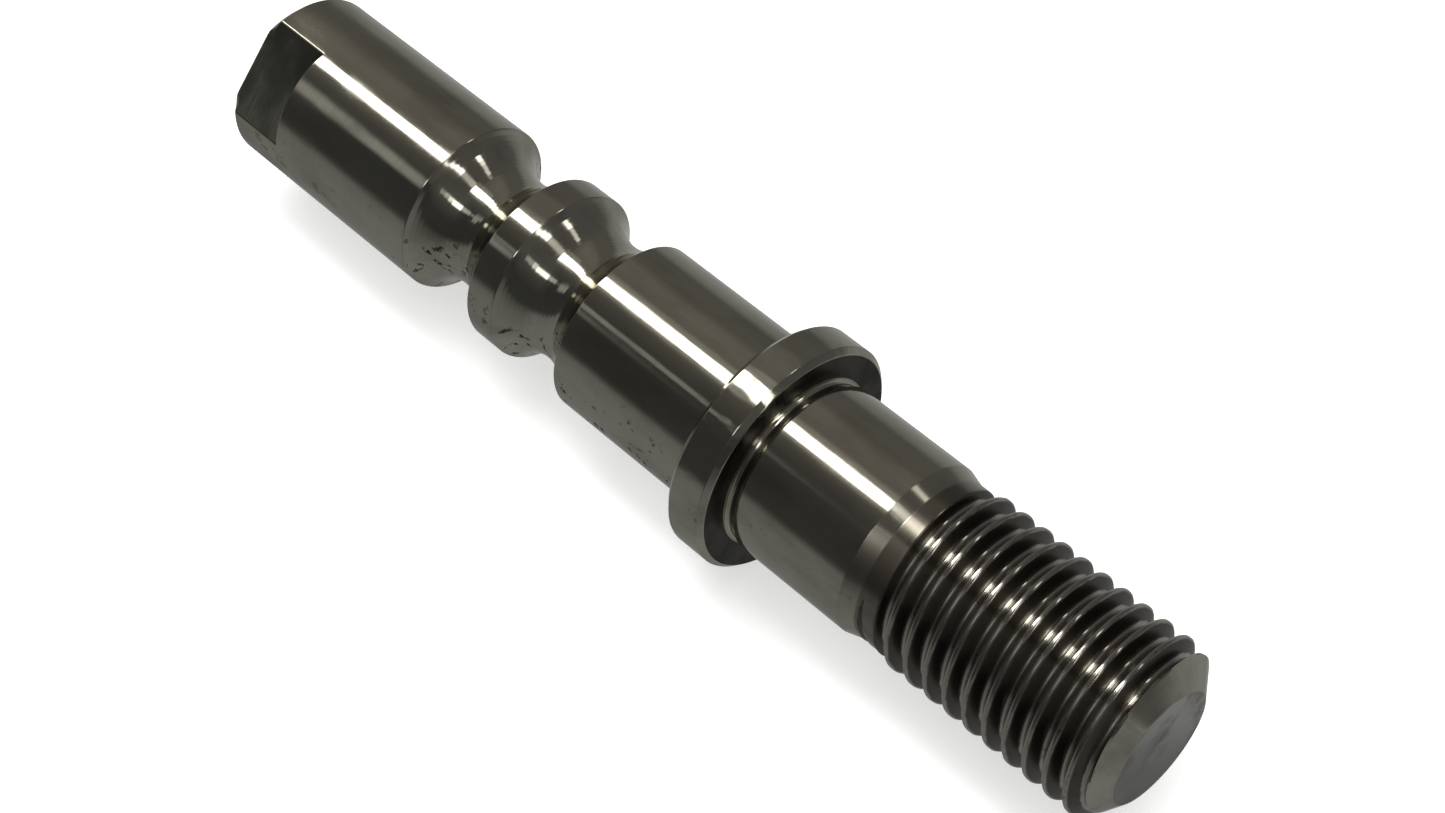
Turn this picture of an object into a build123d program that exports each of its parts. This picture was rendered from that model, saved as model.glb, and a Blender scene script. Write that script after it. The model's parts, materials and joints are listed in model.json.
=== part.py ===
"""Threaded detent stud: one steel bar turned, threaded and milled in one piece.

Frame: the stud's axis is X and +X points out of the threaded end. The origin is on the axis,
in the plane of the collar face that seats against the plate the stud is screwed into.
"""
from build123d import *
from math import atan2, degrees, radians, sqrt, tan
import os

# Driving dimensions, in millimetres and degrees
SHANK_D = 16.0            # seat shank, detent ridge and head
THREAD_END_X = 38.0
HEAD_END_X = -63.0
EDGE_R = 0.15             # rounding of the turned edges
CORNER_R = 0.3            # tool radius left behind the collar

COLLAR_D = 21.3
COLLAR_T = 4.0
COLLAR_BREAK = 0.5        # 45 degree edge break on both collar rims
UNDERCUT_W = 1.2          # clearance groove between collar and seat shank
UNDERCUT_DEPTH = 0.4
UNDERCUT_R = 0.42         # wider than the undercut is deep, so a plate can seat on the face

THREAD_D = 15.9           # major diameter of an M16 x 2 external thread
THREAD_PITCH = 2.0
THREAD_DEPTH = 1.2
THREAD_FLANK = 30.0
CREST_W = 0.3
THREAD_STOP_X = 15.0      # where the groove starts to rise out of the metal
RUN_OUT_TURNS = 0.5       # turns over which it rises
THREAD_PHASE = 180.0      # turn of the groove about X at THREAD_STOP_X

POINT_D = 10.5            # flat end face inside the lead-in
LEAD_IN_L = 1.9
CENTRE_MARK_D = 2.6
CENTRE_MARK_DEPTH = 0.35

RELIEF_D = 15.1           # relief between the thread and the seat shank
RELIEF_START_X = 15.9
RELIEF_END_X = 13.9
RELIEF_CONE_L = 1.5

GROOVE_R = 4.75           # both detent grooves are arcs of this radius
NEAR_GROOVE_X = -23.9     # the groove nearer the collar
NEAR_GROOVE_DEPTH = 2.1
FAR_GROOVE_X = -35.0
FAR_GROOVE_DEPTH = 2.6

FLAT_AF = 13.0            # across the two wrench flats
FLAT_L = 6.6
FLAT_ROLL = 47.0          # one flat faces between +Z and -Y, the other opposite
HEAD_CHAMFER = 0.8

SHANK_R = SHANK_D / 2
COLLAR_R = COLLAR_D / 2
THREAD_R = THREAD_D / 2
RELIEF_R = RELIEF_D / 2
UNDERCUT_FLOOR_R = SHANK_R - UNDERCUT_DEPTH


def groove_half_width(depth):
    """Half the width of a detent groove where its arc breaks the surface."""
    return sqrt(GROOVE_R**2 - (GROOVE_R - depth) ** 2)


def groove_arc(centre_x, depth):
    """The arc of one detent groove, drawn towards the head."""
    half = groove_half_width(depth)
    ThreePointArc(
        (centre_x + half, SHANK_R),
        (centre_x, SHANK_R - depth),
        (centre_x - half, SHANK_R),
    )


def thread_cutter(start_x, length, phase, lift=0.0):
    """The helical thread groove as a solid, its start held out from the axis by lift."""
    proud = 0.15
    slope = tan(radians(THREAD_FLANK))
    top_half = (THREAD_PITCH - CREST_W) / 2 + proud * slope
    root_half = top_half - (THREAD_DEPTH + proud) * slope
    top_r = THREAD_R + proud
    root_r = THREAD_R - THREAD_DEPTH
    corners = [(-top_half, top_r), (top_half, top_r), (root_half, root_r), (-root_half, root_r)]
    rails = [
        Helix(
            pitch=THREAD_PITCH,
            height=length,
            radius=radius + lift,
            center=(start_x + shift, 0, 0),
            direction=(1, 0, 0),
            cone_angle=-degrees(atan2(lift, length)),
            mode=Mode.PRIVATE,
        ).edges()[0]
        for shift, radius in corners
    ]
    pairs = list(zip(rails, rails[1:] + rails[:1]))
    sides = [Face.make_surface_from_curves(one, other) for one, other in pairs]
    ends = [
        Face(Wire([Edge.make_line(one @ at, other @ at) for one, other in pairs]))
        for at in (0, 1)
    ]
    return Solid(Shell(sides + ends)).rotate(Axis.X, phase)


# The turned edges that are rounded: both grooves' edges and the foot of the seat shank
near_half = groove_half_width(NEAR_GROOVE_DEPTH)
far_half = groove_half_width(FAR_GROOVE_DEPTH)
rounded_x = [
    NEAR_GROOVE_X + near_half,
    NEAR_GROOVE_X - near_half,
    FAR_GROOVE_X + far_half,
    FAR_GROOVE_X - far_half,
    RELIEF_END_X - RELIEF_CONE_L,
]
run_out_l = RUN_OUT_TURNS * THREAD_PITCH
thread_turns = int((THREAD_END_X - THREAD_STOP_X) / THREAD_PITCH) + 1
lift = THREAD_DEPTH + 0.1

with BuildPart() as detent_stud:
    # The turned blank: half of its outline, revolved about X
    with BuildSketch(Plane.XY) as outline:
        with BuildLine():
            Polyline(
                (HEAD_END_X, 0),
                (THREAD_END_X - CENTRE_MARK_DEPTH, 0),
                (THREAD_END_X, CENTRE_MARK_D / 2),
                (THREAD_END_X, POINT_D / 2),
                (THREAD_END_X - LEAD_IN_L, THREAD_R),
                (RELIEF_START_X + THREAD_R - RELIEF_R, THREAD_R),
                (RELIEF_START_X, RELIEF_R),
                (RELIEF_END_X, RELIEF_R),
                (RELIEF_END_X - RELIEF_CONE_L, SHANK_R),
                (UNDERCUT_W, SHANK_R),
                (UNDERCUT_W - UNDERCUT_DEPTH, UNDERCUT_FLOOR_R),
                (0, UNDERCUT_FLOOR_R),
                (0, COLLAR_R - COLLAR_BREAK),
                (-COLLAR_BREAK, COLLAR_R),
                (-COLLAR_T + COLLAR_BREAK, COLLAR_R),
                (-COLLAR_T, COLLAR_R - COLLAR_BREAK),
                (-COLLAR_T, SHANK_R),
                (NEAR_GROOVE_X + near_half, SHANK_R),
            )
            groove_arc(NEAR_GROOVE_X, NEAR_GROOVE_DEPTH)
            Line((NEAR_GROOVE_X - near_half, SHANK_R), (FAR_GROOVE_X + far_half, SHANK_R))
            groove_arc(FAR_GROOVE_X, FAR_GROOVE_DEPTH)
            Polyline(
                (FAR_GROOVE_X - far_half, SHANK_R),
                (HEAD_END_X + HEAD_CHAMFER, SHANK_R),
                (HEAD_END_X, SHANK_R - HEAD_CHAMFER),
                (HEAD_END_X, 0),
            )
        make_face()
        corners = outline.vertices()
        fillet([v for v in corners if any(abs(v.X - x) < 1e-4 for x in rounded_x)], EDGE_R)
        fillet(
            outline.vertices().sort_by_distance((0, UNDERCUT_FLOOR_R))[0],
            UNDERCUT_R,
        )
        fillet(outline.vertices().sort_by_distance((-COLLAR_T, SHANK_R))[0], CORNER_R)
    revolve(axis=Axis.X)

    # Two wrench flats milled across the head
    flat_normal = Vector(0, 0, 1).rotate(Axis.X, FLAT_ROLL)
    with BuildSketch(Plane(origin=(HEAD_END_X, 0, 0), x_dir=flat_normal, z_dir=(1, 0, 0))):
        for side in (-1, 1):
            with Locations((side * (FLAT_AF / 2 + SHANK_R), 0)):
                Rectangle(SHANK_D, 2 * SHANK_D)
    extrude(amount=FLAT_L, mode=Mode.SUBTRACT)

    # The thread, one turn at a time, and then its run-out at the relief
    turn = thread_cutter(THREAD_STOP_X, THREAD_PITCH, THREAD_PHASE)
    for index in range(thread_turns):
        add(turn.moved(Location((index * THREAD_PITCH, 0, 0))), mode=Mode.SUBTRACT)
    run_out_phase = THREAD_PHASE - 360 * RUN_OUT_TURNS
    run_out = thread_cutter(THREAD_STOP_X - run_out_l, run_out_l, run_out_phase, lift)
    add(run_out, mode=Mode.SUBTRACT)

detent_stud.part.label = "detent_stud"
os.makedirs("parts", exist_ok=True)
export_step(detent_stud.part, "parts/detent_stud.step")
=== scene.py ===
"""Looks of the threaded detent stud: one turned, threaded and milled bar of bright steel.

The stud's axis is X, with +X out of the threaded end, and the origin is in the collar's seating face.
Angles round the stud run from +Z (0 degrees) towards -Y, which is right-handed about +X.
Shapes are worked out in millimetres and written to the mesh in metres.
"""
import json
from math import acos, asin, cos, hypot, pi, radians, sin, sqrt, tan

import bmesh
import bpy
import numpy as np
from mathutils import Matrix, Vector, noise


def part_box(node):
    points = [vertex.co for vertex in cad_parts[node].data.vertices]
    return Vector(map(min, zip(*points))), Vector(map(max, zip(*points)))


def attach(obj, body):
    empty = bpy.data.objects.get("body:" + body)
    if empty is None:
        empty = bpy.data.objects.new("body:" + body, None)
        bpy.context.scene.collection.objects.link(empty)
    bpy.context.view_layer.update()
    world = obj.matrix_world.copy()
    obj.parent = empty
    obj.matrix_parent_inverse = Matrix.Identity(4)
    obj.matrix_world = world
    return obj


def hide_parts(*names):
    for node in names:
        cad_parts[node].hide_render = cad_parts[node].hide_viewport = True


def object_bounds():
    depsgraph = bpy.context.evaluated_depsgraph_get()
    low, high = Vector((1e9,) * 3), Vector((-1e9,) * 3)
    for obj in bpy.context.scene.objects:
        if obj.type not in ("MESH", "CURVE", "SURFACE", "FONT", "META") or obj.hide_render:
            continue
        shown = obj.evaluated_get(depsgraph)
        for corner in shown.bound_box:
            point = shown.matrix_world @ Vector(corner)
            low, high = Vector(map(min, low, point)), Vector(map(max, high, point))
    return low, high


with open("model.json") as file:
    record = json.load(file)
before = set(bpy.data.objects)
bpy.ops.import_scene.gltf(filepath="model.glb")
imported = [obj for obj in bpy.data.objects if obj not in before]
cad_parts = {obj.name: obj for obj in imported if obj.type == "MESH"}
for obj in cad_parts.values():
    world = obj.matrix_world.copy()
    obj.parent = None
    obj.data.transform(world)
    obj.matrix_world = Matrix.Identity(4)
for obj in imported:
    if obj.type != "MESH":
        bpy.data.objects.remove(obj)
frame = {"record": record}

MM = 0.001
CAD_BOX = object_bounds()

# ---- Driving dimensions in millimetres: the frame's own, and those that the record doesn't hold

NODE = "detent_stud"
box_low, box_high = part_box(NODE)
mounts = {m["name"]: m for m in frame["record"]["mounts"]}

HEAD_END_X = round(box_low[0] / MM, 3)
THREAD_END_X = round(box_high[0] / MM, 3)
COLLAR_R = round(box_high[1] / MM, 2)
SHANK_R = mounts["seat_shank"]["dims"]["r_mm"]
THREAD_R = mounts["thread"]["dims"]["r_mm"]
GROOVES = [mounts["far_detent_groove"], mounts["near_detent_groove"]]
GROOVE_R = 4.75           # of the arc across a detent groove

COLLAR_T = 4.0
COLLAR_BREAK = 0.5
COLLAR_FOOT_R = 0.3
UNDERCUT_W = 1.2
UNDERCUT_DEPTH = 0.4
UNDERCUT_R = 0.42
UNDERCUT_EDGE_R = 0.05
SEAT_END_X = 12.4
RELIEF_X = 13.9
RELIEF_R = 7.55
RELIEF_END_X = 15.9
POINT_R = 5.25            # the end face of the threaded end
LEAD_IN_L = 1.9
CENTRE_MARK_R = 1.3
CENTRE_MARK_DEPTH = 0.35
CENTRE_MARK_EDGE_R = 0.2
THREAD_PITCH = 2.0
THREAD_DEPTH = 1.2
FLANK_ANGLE = radians(30)
ROOT_HALF = 0.157         # half the flat at the bottom of the thread groove
THREAD_STOP_X = 15.0      # full depth ends here, and the groove rises out over half a turn
RUN_OUT_L = 1.0
RUN_OUT_LIFT = 1.3
FLAT_HALF = 6.5           # from the axis to a wrench flat
FLAT_L = 6.6
FLAT_ANGLE = radians(47)
HEAD_CHAMFER = 0.8
SHOULDER_X = HEAD_END_X + FLAT_L
LEAD_IN_SLOPE = (THREAD_R - POINT_R) / LEAD_IN_L

# Edge wear
EDGE_R = 0.15
FINE_EDGE_R = 0.09
BEVEL_HALF = 7.955        # from the axis to the worn bevel along a flat's long edge
BEVEL_TURN = radians(26.5)  # from a flat's normal to that bevel's
FLAT_EDGE_BLEND = 0.05    # how far the lines between them are rounded over
THREAD_BLEND = 0.07
ROOT_BLEND = 0.22
CREST_WEAR = 0.035
COLLAR_WEAR = 0.035
GROOVE_WEAR = 0.006

# Mesh fineness
ARC_STEPS = 4
GROOVE_STEPS = 22
GUARD = 0.05              # a ring this near every tangent point keeps straight stretches true
RING_GAP = 2.5
COLUMNS = 144
FLAT_EDGE_COLUMNS = np.radians(np.arange(-1.5, 3.6, 0.4))   # outwards from a flat's long edge
RINGS_PER_PITCH = 20
THREAD_GRID_END_X = THREAD_END_X - 0.08
FACE_SHARES = (0.05, 0.15, 0.3, 0.45, 0.6, 0.75, 0.88, 0.96)   # rings on the head's end face
POINT_FACE_RINGS = 6
CENTRE_MARK_SHARES = (0.6, 0.25, 0.05)
SHARP = radians(50)       # edges that turn more than this aren't shaded smooth

# Material slots of the mesh
# SEAT is the collar's seating face, whose material is painted shade
TURNED, THREADED, MILLED, FACED, SEAT = range(5)


# ---- The turned outline, as rings (x, r) from the head to the thread relief

def rounded(before, corner, after, radius, steps=ARC_STEPS):
    """The points that round a corner of the outline with a tangent arc."""
    to_before = (Vector(before) - Vector(corner)).normalized()
    to_after = (Vector(after) - Vector(corner)).normalized()
    half = to_before.angle(to_after) / 2
    centre = Vector(corner) + (to_before + to_after).normalized() * radius / sin(half)
    start = Vector(corner) + to_before * radius / tan(half) - centre
    stop = Vector(corner) + to_after * radius / tan(half) - centre
    turn = start.angle(stop)
    return [
        tuple(centre + (start * sin((1 - i / steps) * turn) + stop * sin(i / steps * turn)) / sin(turn))
        for i in range(steps + 1)
    ]


def groove_points(mount):
    """A round-bottomed detent groove with both edges rounded, from its head side to its thread side."""
    middle = mount["pos_m"][0] / MM
    depth = SHANK_R - mount["dims"]["r_mm"]
    reach = GROOVE_R + EDGE_R
    edge_x = sqrt(reach**2 - (reach - depth) ** 2)
    edge_angle = asin(edge_x / reach)
    edge = [
        (middle - edge_x + EDGE_R * sin(a), SHANK_R - EDGE_R + EDGE_R * cos(a))
        for a in np.linspace(0, edge_angle, ARC_STEPS + 1)
    ]
    bowl_r = SHANK_R - depth + GROOVE_R
    bowl = [
        (middle + GROOVE_R * sin(a), bowl_r - GROOVE_R * cos(a))
        for a in np.linspace(-edge_angle, edge_angle, GROOVE_STEPS + 1)
    ]
    other_edge = [(2 * middle - x, r) for x, r in reversed(edge)]
    return edge + bowl[1:-1] + other_edge


def filled(points):
    """Adds rings along the straight stretches, with one close to each end."""
    rings = [points[0]]
    for start, stop in zip(points, points[1:]):
        span = hypot(stop[0] - start[0], stop[1] - start[1])
        if span > 4 * GUARD:
            inner = np.linspace(GUARD, span - GUARD, max(2, int(span / RING_GAP) + 1)) / span
            rings += [
                (start[0] + (stop[0] - start[0]) * t, start[1] + (stop[1] - start[1]) * t)
                for t in inner
            ]
        rings.append(stop)
    return rings


def turned_rings():
    """Rings from the edge of the head's end face to the start of the thread relief."""
    face_middle, relief = (HEAD_END_X, 0), (RELIEF_X, RELIEF_R)
    corners = [   # (x, r, rounding), or a groove's mount
        (HEAD_END_X, SHANK_R - HEAD_CHAMFER, FINE_EDGE_R),
        (HEAD_END_X + HEAD_CHAMFER, SHANK_R, EDGE_R),
        *GROOVES,
        (-COLLAR_T, SHANK_R, COLLAR_FOOT_R),
        (-COLLAR_T, COLLAR_R - COLLAR_BREAK, FINE_EDGE_R),
        (-COLLAR_T + COLLAR_BREAK, COLLAR_R, FINE_EDGE_R),
        (-COLLAR_BREAK, COLLAR_R, FINE_EDGE_R),
        (0, COLLAR_R - COLLAR_BREAK, FINE_EDGE_R),
        (0, SHANK_R - UNDERCUT_DEPTH, UNDERCUT_R),
        (UNDERCUT_W - UNDERCUT_DEPTH, SHANK_R - UNDERCUT_DEPTH, UNDERCUT_EDGE_R),
        (UNDERCUT_W, SHANK_R, FINE_EDGE_R),
        (SEAT_END_X, SHANK_R, EDGE_R),
    ]
    points = []
    for before, corner, after in zip([face_middle] + corners, corners, corners[1:] + [relief]):
        if isinstance(corner, dict):
            points += groove_points(corner)
        else:
            # a neighbouring groove counts as the shank line that it interrupts
            ahead = (corner[0] + 1, SHANK_R) if isinstance(after, dict) else after[:2]
            behind = (corner[0] - 1, SHANK_R) if isinstance(before, dict) else before[:2]
            points += rounded(behind, corner[:2], ahead, corner[2])
    return filled(points + [relief])


# ---- The wrench flats, which cut into the rings of the head

def columns():
    """The angles of the mesh's columns, closer together along the flats' long edges."""
    edge = acos(FLAT_HALF / SHANK_R)
    extra = [
        (FLAT_ANGLE + half_turn + side * (edge + step)) % (2 * pi)
        for half_turn in (0, pi)
        for side in (-1, 1)
        for step in FLAT_EDGE_COLUMNS
    ]
    even = [2 * pi * i / COLUMNS for i in range(COLUMNS)]
    even = [a for a in even if all(abs(a - e) > pi / COLUMNS / 2 for e in extra)]
    return np.array(sorted(even + extra))


ANGLES = columns()
COUNT = len(ANGLES)


def blend_min(a, b, width):
    """The lower of two radii, with the corner between them rounded over that width."""
    near = np.maximum(width - np.abs(a - b), 0) / width
    return np.minimum(a, b) - near**2 * width / 4


def flat_radius(x):
    """How far out the flats let the surface come at every column, for a ring on the flats."""
    in_from_end = x - HEAD_END_X
    drop = 0.0
    if in_from_end < FINE_EDGE_R:
        drop = FINE_EDGE_R - sqrt(FINE_EDGE_R**2 - (FINE_EDGE_R - in_from_end) ** 2)
    turn = np.abs((ANGLES - FLAT_ANGLE + pi / 2) % pi - pi / 2)
    flat = (FLAT_HALF - drop) / np.maximum(np.cos(turn), 0.05)
    bevel = (BEVEL_HALF - drop) / np.cos(turn - BEVEL_TURN)
    return blend_min(flat, bevel, FLAT_EDGE_BLEND)


def head_ring(x, r):
    """One ring of the head, cut by the flats."""
    return blend_min(np.full(COUNT, r), flat_radius(x), FLAT_EDGE_BLEND)


def shoulder_rings():
    """The milled step at the end of the flats, its upper edge rounded."""
    cut = head_ring(SHOULDER_X, SHANK_R)
    rings = [(SHOULDER_X - GUARD, cut), (SHOULDER_X, cut)]
    for turn in np.linspace(0, pi / 2, 4):
        drop = FINE_EDGE_R * (1 - sin(turn))
        x = SHOULDER_X + FINE_EDGE_R * (1 - cos(turn))
        rings.append((x, np.maximum(cut, SHANK_R - drop)))
    rings.append((SHOULDER_X + FINE_EDGE_R + GUARD, np.full(COUNT, SHANK_R)))
    return rings


# ---- The thread, on rings that climb with its helix

def thread_blank(x):
    """Radius of the bar that the thread is cut in: relief, step up, thread, lead-in."""
    step_up = RELIEF_R + np.maximum(x - RELIEF_END_X, 0)
    lead_in = POINT_R + LEAD_IN_SLOPE * (THREAD_END_X - x)
    body = blend_min(step_up, np.full_like(x, THREAD_R), THREAD_BLEND)
    return blend_min(body, lead_in, THREAD_BLEND)


def thread_radius(x, angle):
    """Radius of the threaded surface. The groove's middle passes +Z at even millimetres."""
    climb = THREAD_PITCH * angle / (2 * pi)
    middle = np.round((x - climb) / THREAD_PITCH) * THREAD_PITCH + climb
    off = np.abs(x - middle)
    flank = THREAD_R - THREAD_DEPTH + (off - ROOT_HALF) / tan(FLANK_ANGLE)
    root = np.full_like(x, THREAD_R - THREAD_DEPTH)
    groove = -blend_min(-flank, -root, ROOT_BLEND)
    groove += RUN_OUT_LIFT * np.maximum(THREAD_STOP_X - middle, 0) / RUN_OUT_L
    groove += np.where(middle < THREAD_STOP_X - RUN_OUT_L, THREAD_DEPTH, 0)
    return blend_min(thread_blank(x), groove, THREAD_BLEND)


# ---- The mesh

def wear(x, angle, r, zone):
    """Metal lost in use: dull crests, a knocked collar rim, and slightly uneven grooves."""
    y, z = -r * sin(angle), r * cos(angle)
    if zone == "thread" and r > THREAD_R - 0.25:
        return CREST_WEAR * max(0.0, noise.noise(Vector((x * 0.9, y * 0.8, z * 0.8))))
    if zone == "collar":
        return COLLAR_WEAR * noise.noise(Vector((x * 0.6 + 31, y * 0.3, z * 0.3)))
    if zone == "groove":
        return GROOVE_WEAR * noise.noise(Vector((x * 1.1, y * 0.12, z * 0.12)))
    return 0.0


def turned_zone(x, r):
    """Which kind of wear a ring of the turned outline gets."""
    if -COLLAR_T <= x <= 0 and r > COLLAR_R - 0.1:
        return "collar"
    return "groove" if x < -COLLAR_T and r < SHANK_R - EDGE_R else "turned"


class Rings:
    """Points, faces and material slots of a mesh that is built ring by ring."""

    def __init__(self):
        self.points, self.faces, self.slots = [], [], []

    def add(self, x, r, zone):
        """A ring, where x and r are single numbers or one number for each column."""
        xs, rs = np.broadcast_to(x, COUNT), np.broadcast_to(r, COUNT)
        for each_x, each_r, angle in zip(xs, rs, ANGLES):
            worn = each_r - wear(each_x, angle, each_r, zone)
            self.points.append((each_x * MM, -worn * sin(angle) * MM, worn * cos(angle) * MM))

    def add_face(self, corners, slot):
        self.faces.append(corners)
        self.slots.append(slot)

    def join(self, first, slot, shift=0):
        """Faces from the ring that starts at that point to the next, closed shift rings further on."""
        second = first + COUNT
        for i in range(COUNT):
            j = (i + 1) % COUNT
            on = shift * COUNT if j == 0 else 0
            self.add_face((first + i, second + i, second + j + on, first + j + on), slot)

    def cap(self, x, ring_start, flip):
        """Faces from a ring to a point on the axis."""
        tip = len(self.points)
        self.points.append((x * MM, 0, 0))
        for i in range(COUNT):
            pair = (ring_start + i, ring_start + (i + 1) % COUNT)
            self.add_face((tip, *(reversed(pair) if flip else pair)), FACED)


def add_head_and_shank(mesh):
    """From the middle of the head's end face to the thread relief."""
    outline = turned_rings()
    rim = head_ring(*outline[0])
    rings = [(HEAD_END_X, rim * share, "end") for share in FACE_SHARES]
    rings += [(x, head_ring(x, r), "head") for x, r in outline if x < SHOULDER_X - 2 * GUARD]
    rings += [(x, r, "head") for x, r in shoulder_rings()]
    past_shoulder = SHOULDER_X + FINE_EDGE_R + 2 * GUARD
    rings += [(x, r, turned_zone(x, r)) for x, r in outline if x > past_shoulder]
    for ring in rings:
        mesh.add(*ring)
    for k in range(len(rings) - 1):
        mesh.join(k * COUNT, FACED if k < len(FACE_SHARES) - 1 else TURNED)


def add_thread(mesh):
    """The thread relief, thread and lead-in, on rings that each climb one pitch in a turn."""
    grid_start = len(mesh.points)
    first = int((RELIEF_X - THREAD_PITCH) / THREAD_PITCH * RINGS_PER_PITCH) - 1
    last = int(THREAD_GRID_END_X / THREAD_PITCH * RINGS_PER_PITCH) + 2
    climb = THREAD_PITCH * ANGLES / (2 * pi)
    for k in range(first, last + 1):
        x = np.clip(THREAD_PITCH * k / RINGS_PER_PITCH + climb, RELIEF_X, THREAD_GRID_END_X)
        mesh.add(x, thread_radius(x, ANGLES), "thread")
    joins = last - first
    for k in range(joins - RINGS_PER_PITCH):
        mesh.join(grid_start + k * COUNT, THREADED, shift=RINGS_PER_PITCH)
    # the rings past the last full turn have no column to close on, so they stop at the last angle
    for k in range(joins - RINGS_PER_PITCH, joins):
        for i in range(COUNT - 1):
            a = grid_start + k * COUNT + i
            b = a + COUNT
            mesh.add_face((a, b, b + 1, a + 1), THREADED)


def add_point(mesh):
    """The threaded end's rounded edge, end face and centre mark."""
    rim_r = POINT_R + LEAD_IN_SLOPE * (THREAD_END_X - THREAD_GRID_END_X)
    lead_in_start, face_edge = (THREAD_END_X - LEAD_IN_L, THREAD_R), (THREAD_END_X, POINT_R)
    edge = rounded(lead_in_start, face_edge, (THREAD_END_X, 0), FINE_EDGE_R)
    rings = [(THREAD_GRID_END_X, rim_r)] + edge[1:]
    face_radii = np.linspace(rings[-1][1] - GUARD, CENTRE_MARK_R + 0.1, POINT_FACE_RINGS)
    rings += [(THREAD_END_X, r) for r in face_radii]
    tip_x = THREAD_END_X - CENTRE_MARK_DEPTH
    mark_outside, mark_edge = (THREAD_END_X, CENTRE_MARK_R + 1), (THREAD_END_X, CENTRE_MARK_R)
    rings += rounded(mark_outside, mark_edge, (tip_x, 0), CENTRE_MARK_EDGE_R)
    cone_x, cone_r = rings[-1]
    rings += [(tip_x + (cone_x - tip_x) * share, cone_r * share) for share in CENTRE_MARK_SHARES]
    start = len(mesh.points)
    for x, r in rings:
        mesh.add(x, r, "end")
    for k in range(len(rings) - 1):
        mesh.join(start + k * COUNT, THREADED if k < ARC_STEPS - 1 else FACED)
    mesh.cap(tip_x, start + (len(rings) - 1) * COUNT, flip=False)


def assign_surfaces(shape):
    """Smooth shading everywhere, and the slots of faces that only their place and direction tell."""
    flats = Vector((0, -sin(FLAT_ANGLE), cos(FLAT_ANGLE)))
    for face in shape.faces:
        face.smooth = True
        middle = face.calc_center_median()
        x, r = middle.x / MM, hypot(middle.y, middle.z) / MM
        on_flat = x < SHOULDER_X and abs(face.normal.dot(flats)) > 0.9999
        on_step = abs(x - SHOULDER_X) < 0.5 * GUARD and abs(face.normal.x) > 0.9
        if on_flat or on_step:
            face.material_index = MILLED
        # the collar's seating face gets the painted-shade material
        if abs(x) < 0.3 and face.normal.x > 0.99:
            face.material_index = SEAT
        # the relief and the lead-in cone are turned surfaces that the thread grid carries
        if face.material_index == THREADED and r > thread_blank(np.array([x]))[0] - 0.03:
            if x < RELIEF_END_X + 0.3 or x > THREAD_END_X - LEAD_IN_L:
                face.material_index = TURNED
    for edge in shape.edges:
        if len(edge.link_faces) == 2 and edge.calc_face_angle(0) > SHARP:
            edge.smooth = False


def link_new(name, data):
    """A new object in the scene."""
    made = bpy.data.objects.new(name, data)
    bpy.context.collection.objects.link(made)
    return made


def build_stud():
    """The stud as one closed mesh, with a material for each kind of machined surface."""
    rings = Rings()
    add_head_and_shank(rings)
    add_thread(rings)
    add_point(rings)
    rings.cap(HEAD_END_X, 0, flip=True)

    mesh = bpy.data.meshes.new("stud_body")
    mesh.from_pydata(rings.points, [], rings.faces)
    mesh.polygons.foreach_set("material_index", rings.slots)
    shape = bmesh.new()
    shape.from_mesh(mesh)
    bmesh.ops.remove_doubles(shape, verts=shape.verts, dist=1e-7)
    bmesh.ops.dissolve_degenerate(shape, edges=shape.edges, dist=1e-8)
    bmesh.ops.recalc_face_normals(shape, faces=shape.faces)
    assign_surfaces(shape)
    open_edges = sum(1 for edge in shape.edges if len(edge.link_faces) != 2)
    shape.to_mesh(mesh)
    shape.free()
    print("stud_body faces", len(mesh.polygons), "open edges", open_edges)
    return link_new("stud_body", mesh)


# ---- Materials

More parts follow.
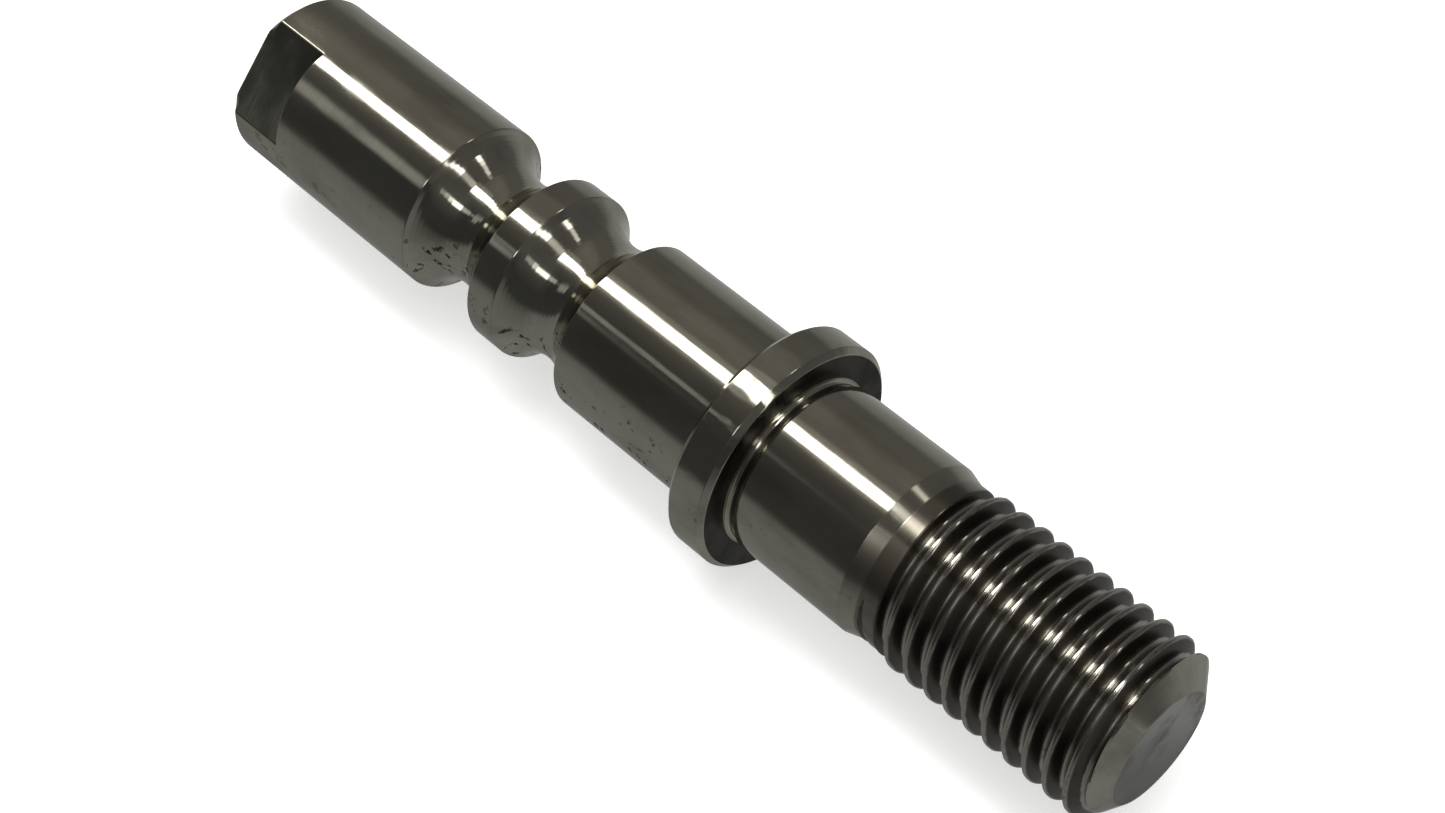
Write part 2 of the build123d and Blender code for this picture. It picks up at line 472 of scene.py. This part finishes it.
class Nodes:
    """A few short ways to write a node tree."""

    def __init__(self, tree):
        self.tree = tree
        self.tree.nodes.clear()

    def add(self, kind, inputs=None, **settings):
        node = self.tree.nodes.new(kind)
        for key, value in settings.items():
            setattr(node, key, value)
        for key, value in (inputs or {}).items():
            self.set(node.inputs[key], value)
        return node

    def set(self, socket, value):
        if isinstance(value, bpy.types.NodeSocket):
            self.tree.links.new(value, socket)
        else:
            socket.default_value = value

    def math(self, operation, a, b=0.0, c=0.0):
        return self.add("ShaderNodeMath", {0: a, 1: b, 2: c}, operation=operation).outputs[0]

    def band(self, value, low, high, to_low=0.0, to_high=1.0, smooth=True):
        """The value's way from low to high, as a number from to_low to to_high."""
        kind = "SMOOTHSTEP" if smooth else "LINEAR"
        ends = {"From Min": low, "From Max": high, "To Min": to_low, "To Max": to_high}
        return self.add("ShaderNodeMapRange", {"Value": value, **ends}, interpolation_type=kind).outputs[0]

    def between(self, value, start, stop, soft):
        """1 from start to stop and 0 outside, fading over the soft width on both sides of each end."""
        in_side = self.band(value, start - soft, start + soft)
        return self.math("MULTIPLY", in_side, self.band(value, stop - soft, stop + soft, 1, 0))

    def mix(self, share, a, b):
        node = self.add("ShaderNodeMix", data_type="RGBA")
        for key, value in (("Factor_Float", share), ("A_Color", a), ("B_Color", b)):
            socket = next(s for s in node.inputs if s.identifier == key)
            self.set(socket, (*value, 1) if isinstance(value, tuple) else value)
        return next(s for s in node.outputs if s.identifier == "Result_Color")

    def stretched(self, scale):
        """Object coordinates in millimetres, scaled on each axis."""
        where = self.add("ShaderNodeTexCoord").outputs["Object"]
        factor = tuple(s / MM for s in scale)
        return self.add("ShaderNodeVectorMath", {0: where, 1: factor}, operation="MULTIPLY").outputs[0]

    def place(self):
        """Millimetres along the axis, towards +Y and up."""
        return self.add("ShaderNodeSeparateXYZ", {0: self.stretched((1, 1, 1))}).outputs

    def noise(self, scale, detail=3.0, roughness=0.5):
        inputs = {"Vector": self.stretched(scale), "Scale": 1.0, "Detail": detail, "Roughness": roughness}
        return self.add("ShaderNodeTexNoise", inputs).outputs["Fac"]

    def rust(self):
        """Irregular specks in loose clusters, on the side that the stud has lain on."""
        along, _, height = self.place()
        guide_shank = self.math("MULTIPLY", self.band(along, -23, -18), self.band(along, -6, -3, 0.07, 0))
        loose = self.math("ADD", self.noise((0.13, 0.22, 0.22), detail=2.0), guide_shank)
        specks = self.band(self.noise((0.95, 0.95, 0.95), detail=4.0, roughness=0.62), 0.585, 0.64)
        fewer_past_collar = self.band(along, -3, 1, 1, 0.3)
        underside = self.math("MULTIPLY", self.band(height, 0.5, 3.5, 1, 0), fewer_past_collar)
        underside = self.math("MULTIPLY", underside, self.band(along, -50, -38, 0.35, 1))
        clusters = self.math("MULTIPLY", self.band(loose, 0.42, 0.56), underside)
        return self.math("MULTIPLY", specks, clusters)

    def radius(self):
        """Distance from the stud's axis in millimetres."""
        _, back, height = self.place()
        flat = self.add("ShaderNodeCombineXYZ", {1: back, 2: height}).outputs[0]
        return self.add("ShaderNodeVectorMath", {0: flat}, operation="LENGTH").outputs["Value"]

    def painted_shade_band(self):
        """Painted shade: a band along the stud, between about 30 and 60 degrees from straight up, which
        the materials darken and roughen to hide a tube light's glints.
        """
        _, back, height = self.place()
        angle = self.math("ARCTAN2", self.math("MULTIPLY", back, -1.0), height)
        fade_in = self.band(angle, radians(26), radians(32))
        return self.math("MULTIPLY", fade_in, self.band(angle, radians(50), radians(68), 1, 0))

    def bump(self, height, distance_mm, normal=None):
        inputs = {"Height": height, "Distance": distance_mm * MM, "Strength": 1.0}
        if normal is not None:
            inputs["Normal"] = normal
        return self.add("ShaderNodeBump", inputs).outputs[0]

    def metal(self, colour, roughness, normal, anisotropic=0.0):
        shader = self.add("ShaderNodeBsdfPrincipled", {"Metallic": 1.0, "Anisotropic": anisotropic})
        self.set(shader.inputs["Base Color"], colour)
        self.set(shader.inputs["Roughness"], roughness)
        self.set(shader.inputs["Normal"], normal)
        self.finish("ShaderNodeOutputMaterial", shader)

    def finish(self, output, *shaders):
        """Sends one shader, or the sum of two, to the tree's output."""
        last = shaders[0]
        if len(shaders) == 2:
            last = self.add("ShaderNodeAddShader", {i: s.outputs[0] for i, s in enumerate(shaders)})
        self.tree.links.new(last.outputs[0], self.add(output).inputs[0])


def new_material(name):
    material = bpy.data.materials.new(name)
    material.use_nodes = True
    return material, Nodes(material.node_tree)


# Colours of the steel by its state
BRIGHT = (0.62, 0.60, 0.50)
DULL = (0.47, 0.45, 0.37)
RUST = (0.10, 0.06, 0.035)
# grime on the neck, and the colour of the painted shade band past the seat; the next is the painted shade
# band on the thread
GRIME_AND_PAINTED_SHADE = (0.2, 0.18, 0.145)
THREAD_PAINTED_SHADE = (0.2, 0.19, 0.165)
TORN_FLANK = (0.12, 0.11, 0.095)
RUBBED_CREST = (0.52, 0.50, 0.44)
CUTTER_LINE = (0.88, 0.88, 0.74)
BETWEEN_LINES = (0.68, 0.68, 0.56)
CLOUDED_FLAT = (0.6, 0.6, 0.49)
# painted shade on the upper part of the wrench flats
FLAT_PAINTED_SHADE = (0.34, 0.34, 0.29)
# painted shade and painted light across the end faces
END_PAINTED_SHADE_LOW_FRONT = (0.4, 0.4, 0.37)
END_PAINTED_LIGHT_HIGH_REAR = (0.84, 0.84, 0.8)
END_STAIN = (0.36, 0.355, 0.33)
# painted shade of the collar's seating face, for its reflection of the shadowed floor; stained patches
# darker still
SEAT_PAINTED_SHADE = (0.1, 0.096, 0.085)
SEAT_PAINTED_SHADE_STAINED = (0.055, 0.052, 0.046)


def turned_material():
    """Fine turned and polished bar: rings round the axis, smears, rust specks, grime by the thread, and
    painted shade in a band past the seat.
    """
    material, n = new_material("polished_turned_steel")
    rings = n.noise((9.0, 0.1, 0.1), detail=4.0, roughness=0.6)
    fine_rings = n.noise((28.0, 0.2, 0.2), detail=2.0)
    smears = n.noise((0.12, 0.3, 0.3), detail=3.0, roughness=0.55)
    waves = n.noise((0.25, 0.45, 0.45), detail=2.0)
    specks = n.rust()

    along = n.place()[0]
    head = n.band(along, HEAD_END_X + 4, HEAD_END_X + 20, 1, 0)
    handled = n.math("MULTIPLY", head, n.band(smears, 0.3, 0.7))
    collar = n.between(along, -COLLAR_T, 0, 0.1)
    short_of_point = n.band(along, 18, 20, 1, 0)
    past_seat = n.math("MULTIPLY", n.band(along, SEAT_END_X - 0.1, SEAT_END_X + 0.1), short_of_point)
    neck = n.math("MULTIPLY", n.band(along, RELIEF_X - 0.1, RELIEF_X + 0.1), short_of_point)
    # painted shade past the seat: a band that hides a tube light's glints on the relief cone and neck
    painted_shade = n.math("MULTIPLY", past_seat, n.painted_shade_band())

    tone = n.mix(n.band(smears, 0.4, 0.75), BRIGHT, DULL)
    tone = n.mix(n.math("MULTIPLY", n.band(rings, 0.45, 0.75), 0.3), tone, DULL)
    tone = n.mix(n.math("MULTIPLY", neck, n.band(smears, 0.3, 0.6, 0.55, 0.9)), tone, GRIME_AND_PAINTED_SHADE)
    # painted shade: that band is darkened towards the grime colour
    tone = n.mix(n.math("MULTIPLY", painted_shade, 0.6), tone, GRIME_AND_PAINTED_SHADE)
    tone = n.mix(specks, tone, RUST)

    roughness = n.band(rings, 0.3, 0.7, 0.06, 0.1, smooth=False)
    roughness = n.math("ADD", roughness, n.band(smears, 0.45, 0.8, 0.0, 0.08))
    for where, extra in ((handled, 0.16), (past_seat, 0.03), (painted_shade, 0.25), (neck, 0.07), (specks, 0.35)):
        roughness = n.math("MULTIPLY_ADD", where, extra, roughness)

    uneven = n.math("MULTIPLY_ADD", handled, 1.5, n.math("MULTIPLY_ADD", collar, 5.0, 1.0))
    normal = n.bump(n.math("MULTIPLY", waves, uneven), 0.010)
    normal = n.bump(rings, 0.001, normal)
    normal = n.bump(fine_rings, 0.0004, normal)
    normal = n.bump(n.math("SUBTRACT", 1.0, specks), 0.012, normal)
    n.metal(tone, roughness, normal, anisotropic=0.3)
    return material


def threaded_material():
    """Cut thread: rubbed crests and clean roots, with dark torn flanks between them, and painted shade in
    a band that hides a tube light's glints.
    """
    material, n = new_material("cut_thread_steel")
    mottle = n.noise((0.7, 0.7, 0.7), detail=4.0, roughness=0.55)
    tears = n.noise((10.0, 0.4, 0.4), detail=2.0)
    radius = n.math("MULTIPLY_ADD", n.math("SUBTRACT", mottle, 0.5), 0.3, n.radius())
    root_r = THREAD_R - THREAD_DEPTH
    crest = n.band(radius, THREAD_R - 0.22, THREAD_R - 0.04)
    root = n.band(radius, root_r + 0.1, root_r + 0.25, 1, 0)
    clean = n.math("MAXIMUM", crest, root)
    # painted shade: a band where the thread is darkened and roughened to hide a tube light's glints
    painted_shade = n.painted_shade_band()

    tone = n.mix(clean, TORN_FLANK, RUBBED_CREST)
    tone = n.mix(n.math("MULTIPLY", n.band(mottle, 0.6, 0.75), 0.6), tone, RUST)
    tone = n.mix(n.math("MULTIPLY", painted_shade, 0.6), tone, THREAD_PAINTED_SHADE)

    roughness = n.band(clean, 0, 1, 0.28, 0.1, smooth=False)
    roughness = n.math("ADD", roughness, n.band(mottle, 0.45, 0.8, 0.0, 0.06))
    roughness = n.math("MULTIPLY_ADD", painted_shade, 0.22, roughness)

    normal = n.bump(tears, 0.0006)
    normal = n.bump(mottle, 0.006, normal)
    n.metal(tone, roughness, normal)
    return material


def milled_material():
    """Milled wrench flats: fine cutter lines across the head, satin, with painted shade darkening them
    towards the top.
    """
    material, n = new_material("milled_flat_steel")
    lines = n.noise((5.0, 0.2, 0.2), detail=3.0)
    cloud = n.noise((0.3, 0.18, 0.18), detail=4.0)
    height = n.place()[2]
    # painted shade: the flats darken towards the top
    painted_shade_top = n.band(n.math("MULTIPLY_ADD", cloud, 6.0, height), 5.5, 10.5)
    tone = n.mix(n.band(lines, 0.4, 0.65), CUTTER_LINE, BETWEEN_LINES)
    tone = n.mix(n.band(cloud, 0.4, 0.65), tone, CLOUDED_FLAT)
    tone = n.mix(painted_shade_top, tone, FLAT_PAINTED_SHADE)
    roughness = n.band(cloud, 0.3, 0.7, 0.3, 0.2, smooth=False)
    normal = n.bump(lines, 0.004)
    normal = n.bump(cloud, 0.02, normal)
    n.metal(tone, roughness, normal)
    return material


def faced_material():
    """Faced ends: tool rings about the axis, satin and a little stained, with painted light and shade:
    darker low at the front, lighter high at the rear.
    """
    material, n = new_material("faced_end_steel")
    at = n.add("ShaderNodeCombineXYZ", {0: n.math("MULTIPLY", n.radius(), 9.0)}).outputs[0]
    tool = n.add("ShaderNodeTexNoise", {"Vector": at, "Scale": 1.0, "Detail": 3.0}).outputs["Fac"]
    cloud = n.noise((0.35, 0.35, 0.35), detail=4.0)
    _, back, height = n.place()
    # painted light and shade: dark low at the front to light high at the rear
    tone = n.mix(n.band(n.math("ADD", back, height), -4.0, 6.0), END_PAINTED_SHADE_LOW_FRONT, END_PAINTED_LIGHT_HIGH_REAR)
    tone = n.mix(n.band(cloud, 0.45, 0.7), tone, END_STAIN)
    roughness = n.band(cloud, 0.3, 0.7, 0.2, 0.32, smooth=False)
    n.metal(tone, roughness, n.bump(tool, 0.002))
    return material


def shaded_seat_material():
    """The collar's seating face, in painted shade: its near-black tone stands in for its reflection of the
    shadowed floor.
    """
    material, n = new_material("seat_steel_painted_shade")
    stain = n.noise((0.4, 0.4, 0.4), detail=4.0)
    rubbed = n.noise((1.5, 0.3, 0.3), detail=3.0)
    tone = n.mix(n.band(stain, 0.4, 0.65), SEAT_PAINTED_SHADE, SEAT_PAINTED_SHADE_STAINED)
    roughness = n.band(rubbed, 0.35, 0.65, 0.25, 0.4, smooth=False)
    n.metal(tone, roughness, n.bump(rubbed, 0.002))
    return material


# ---- The room that the steel reflects

# Radiance of the room round the stud: (degrees from straight up towards -Y, radiance)
HEAD_SIDE_LIGHT = [
    (-180, 0.19),
    (-160, 0.24),
    (-140, 0.38),
    (-125, 0.34),
    (-112, 0.275),
    (-92, 0.205),
    (-86, 0.155),
    (-80, 0.10),
    (-50, 0.105),
    (-40, 0.148),
    (-28, 0.16),
    (-17, 0.142),
    (12, 0.12),
    (20, 0.08),
    (34, 0.055),
    (50, 0.042),
    (60, 0.038),
    (80, 0.04),
    (91, 0.042),
    (95, 0.052),
    (99, 0.092),
    (103, 0.148),
    (108, 0.17),
    (130, 0.195),
    (180, 0.19),
]
POINT_SIDE_LIGHT = [
    (-180, 0.22),
    (-150, 0.18),
    (-125, 0.25),
    (-108, 0.27),
    (-98, 0.20),
    (-88, 0.10),
    (-70, 0.085),
    (0, 0.09),
    (40, 0.09),
    (55, 0.065),
    (70, 0.04),
    (95, 0.042),
    (101, 0.085),
    (115, 0.14),
    (135, 0.17),
    (165, 0.23),
    (180, 0.22),
]
POINT_SIDE_X = (-0.3, 0.1)   # a direction's X where the first list gives way to the second
CEILING = (-50, 20)          # degrees, as in the lists
CEILING_TINT = (1.04, 0.98, 0.92)

# Tube lights on a ceiling one unit above the stud. Along is towards +X and across towards -Y:
# (start and stop along, across at the stud, slope of across, half width, soft edge, radiance)
TUBES = {
    "main": (-3.4, 0.12, 0.086, 0.073, 0.105, 0.02, 4.5),
    "main_glow": (-0.66, 0.12, 0.05, 0.069, 0.23, 0.04, 0.12),
    "main_far_end": (0.12, 1.0, 0.03, -0.12, 0.09, 0.03, 0.6),
    "main_beyond": (1.0, 6.5, 0.03, -0.137, 0.10, 0.02, 2.5),
    "front": (-0.02, 0.66, 0.87, 0.0, 0.12, 0.02, 2.2),
    "front_near_end": (-0.45, -0.02, 0.85, 0.0, 0.10, 0.04, 0.5),
    "front_far_end": (0.66, 1.0, 0.86, -0.03, 0.12, 0.03, 0.9),
    "front_beyond": (1.0, 2.2, 0.86, -0.03, 0.11, 0.04, 0.35),
    "front_line": (-0.84, -0.66, 0.84, 0.0, 0.08, 0.03, 0.22),
    "front_dim": (-1.6, -0.89, 0.93, 0.0, 0.25, 0.16, 0.27),
    "rear": (0.70, 1.30, -0.55, -0.285, 0.10, 0.02, 2.4),
    "rear_dim": (0.04, 0.70, -0.55, -0.285, 0.08, 0.03, 0.8),
}
TUBE_END_SOFT = 0.06
TUBE_TINT = (1.0, 0.99, 0.97, 1)
LOWEST_TUBE_Z = (0.06, 0.12)   # tubes fade out over these heights of a direction


def room_light(n, angle, stops):
    """The room's radiance by the angle of a direction round the stud's axis."""
    share = n.math("MULTIPLY_ADD", angle, 1 / (2 * pi), 0.5)
    ramp = n.add("ShaderNodeValToRGB", {0: share})
    ramp.color_ramp.interpolation = "LINEAR"
    elements = ramp.color_ramp.elements
    while len(elements) > 1:
        elements.remove(elements[-1])
    for i, (degree, light) in enumerate(stops):
        element = elements[0] if i == 0 else elements.new(0.5 + degree / 360)
        element.position = 0.5 + degree / 360
        tint = CEILING_TINT if CEILING[0] <= degree <= CEILING[1] else (1, 1, 1)
        element.color = (*(light * t for t in tint), 1)
    return ramp.outputs[0]


def tube(n, along, across, start, stop, middle, slope, half_width, soft, light):
    """One tube light: its radiance where a direction meets it, and none elsewhere."""
    line = n.math("MULTIPLY_ADD", along, slope, middle)
    off = n.math("ABSOLUTE", n.math("SUBTRACT", across, line))
    inside = n.band(off, half_width - soft, half_width + soft, light, 0)
    return n.math("MULTIPLY", inside, n.between(along, start, stop, TUBE_END_SOFT))


def make_world():
    """What the steel reflects: a dim room with a pale floor behind, and tube lights on its ceiling."""
    world = bpy.data.worlds.new("studio")
    world.use_nodes = True
    bpy.context.scene.world = world
    n = Nodes(world.node_tree)
    way = n.add("ShaderNodeTexCoord").outputs["Generated"]
    x, y, z = n.add("ShaderNodeSeparateXYZ", {0: way}).outputs
    front = n.math("MULTIPLY", y, -1.0)
    angle = n.math("ARCTAN2", front, z)
    head_side = room_light(n, angle, HEAD_SIDE_LIGHT)
    point_side = room_light(n, angle, POINT_SIDE_LIGHT)
    room = n.mix(n.band(x, *POINT_SIDE_X), head_side, point_side)
    up = n.math("MAXIMUM", z, 0.05)
    along, across = n.math("DIVIDE", x, up), n.math("DIVIDE", front, up)
    tubes = 0.0
    for sizes in TUBES.values():
        tubes = n.math("ADD", tubes, tube(n, along, across, *sizes))
    tubes = n.math("MULTIPLY", tubes, n.band(z, *LOWEST_TUBE_Z))
    room_shader = n.add("ShaderNodeBackground", {"Color": room})
    tube_shader = n.add("ShaderNodeBackground", {"Color": TUBE_TINT, "Strength": tubes})
    n.finish("ShaderNodeOutputWorld", room_shader, tube_shader)


# ---- Floor, backdrop, overhead light and camera

FLOOR_REACH = 6.0
FLOOR_TONES = ((0.88, 0.88, 0.875), (0.9, 0.9, 0.895))
FLOOR_GLOW = 0.66
BACKDROP_R = 5.0
BACKDROP_TONE = (0.93, 0.93, 0.925, 1)
OVERHEAD_SIZE = 2.4
OVERHEAD_WATTS = 17.0
OVERHEAD_AT = (-0.1, 0.1, 1.5)
CAMERA_AT = (0.09521, -0.10110, 0.17344)
CAMERA_BACK = (0.45786, -0.44734, 0.76829)   # from the aim point towards the camera
CAMERA_LENS = 68.97


def make_floor():
    """A pale floor under the collar, which the steel doesn't reflect: the world stands in for it."""
    z = CAD_BOX[0][2]
    corners = [(-1, -1), (1, -1), (1, 1), (-1, 1)]
    mesh = bpy.data.meshes.new("floor")
    mesh.from_pydata([(FLOOR_REACH * x, FLOOR_REACH * y, z) for x, y in corners], [], [(0, 1, 2, 3)])
    material, n = new_material("pale_floor")
    tone = n.mix(n.noise((0.05, 0.05, 0.05), detail=3.0), *FLOOR_TONES)
    matt = n.add("ShaderNodeBsdfDiffuse", {"Color": tone})
    glow = n.add("ShaderNodeEmission", {"Color": tone, "Strength": FLOOR_GLOW})
    n.finish("ShaderNodeOutputMaterial", matt, glow)
    mesh.materials.append(material)
    floor = link_new("floor", mesh)
    floor.visible_glossy = False


def make_backdrop():
    """A pale dome that only the camera sees."""
    mesh = bpy.data.meshes.new("backdrop")
    shape = bmesh.new()
    bmesh.ops.create_uvsphere(shape, u_segments=48, v_segments=24, radius=BACKDROP_R)
    shape.to_mesh(mesh)
    shape.free()
    material, n = new_material("pale_backdrop")
    glow = n.add("ShaderNodeEmission", {"Color": BACKDROP_TONE, "Strength": 1.0})
    n.finish("ShaderNodeOutputMaterial", glow)
    mesh.materials.append(material)
    dome = link_new("backdrop", mesh)
    dome.visible_glossy = dome.visible_diffuse = dome.visible_shadow = dome.visible_transmission = False


def make_overhead_light():
    """One big soft light over the stud, for the floor and its shadow. It doesn't show in the steel."""
    data = bpy.data.lights.new("soft_overhead", "AREA")
    data.shape, data.size, data.energy = "DISK", OVERHEAD_SIZE, OVERHEAD_WATTS
    light = link_new("soft_overhead", data)
    light.location = OVERHEAD_AT
    light.visible_camera = light.visible_glossy = False


def make_camera():
    data = bpy.data.cameras.new("camera")
    data.sensor_width, data.sensor_fit, data.lens = 36.0, "HORIZONTAL", CAMERA_LENS
    data.clip_start, data.clip_end = 0.01, 50.0
    camera = link_new("camera", data)
    camera.location = CAMERA_AT
    camera.rotation_mode = "QUATERNION"
    camera.rotation_quaternion = Vector(CAMERA_BACK).to_track_quat("Z", "Y")
    bpy.context.scene.camera = camera


def main():
    scene = bpy.context.scene
    scene.view_settings.view_transform = "Standard"
    scene.cycles.use_denoising = True
    stud = build_stud()
    for make in (turned_material, threaded_material, milled_material, faced_material, shaded_seat_material):
        stud.data.materials.append(make())
    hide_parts(NODE)
    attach(stud, "root")
    make_world()
    make_floor()
    make_backdrop()
    make_overhead_light()
    make_camera()


main()
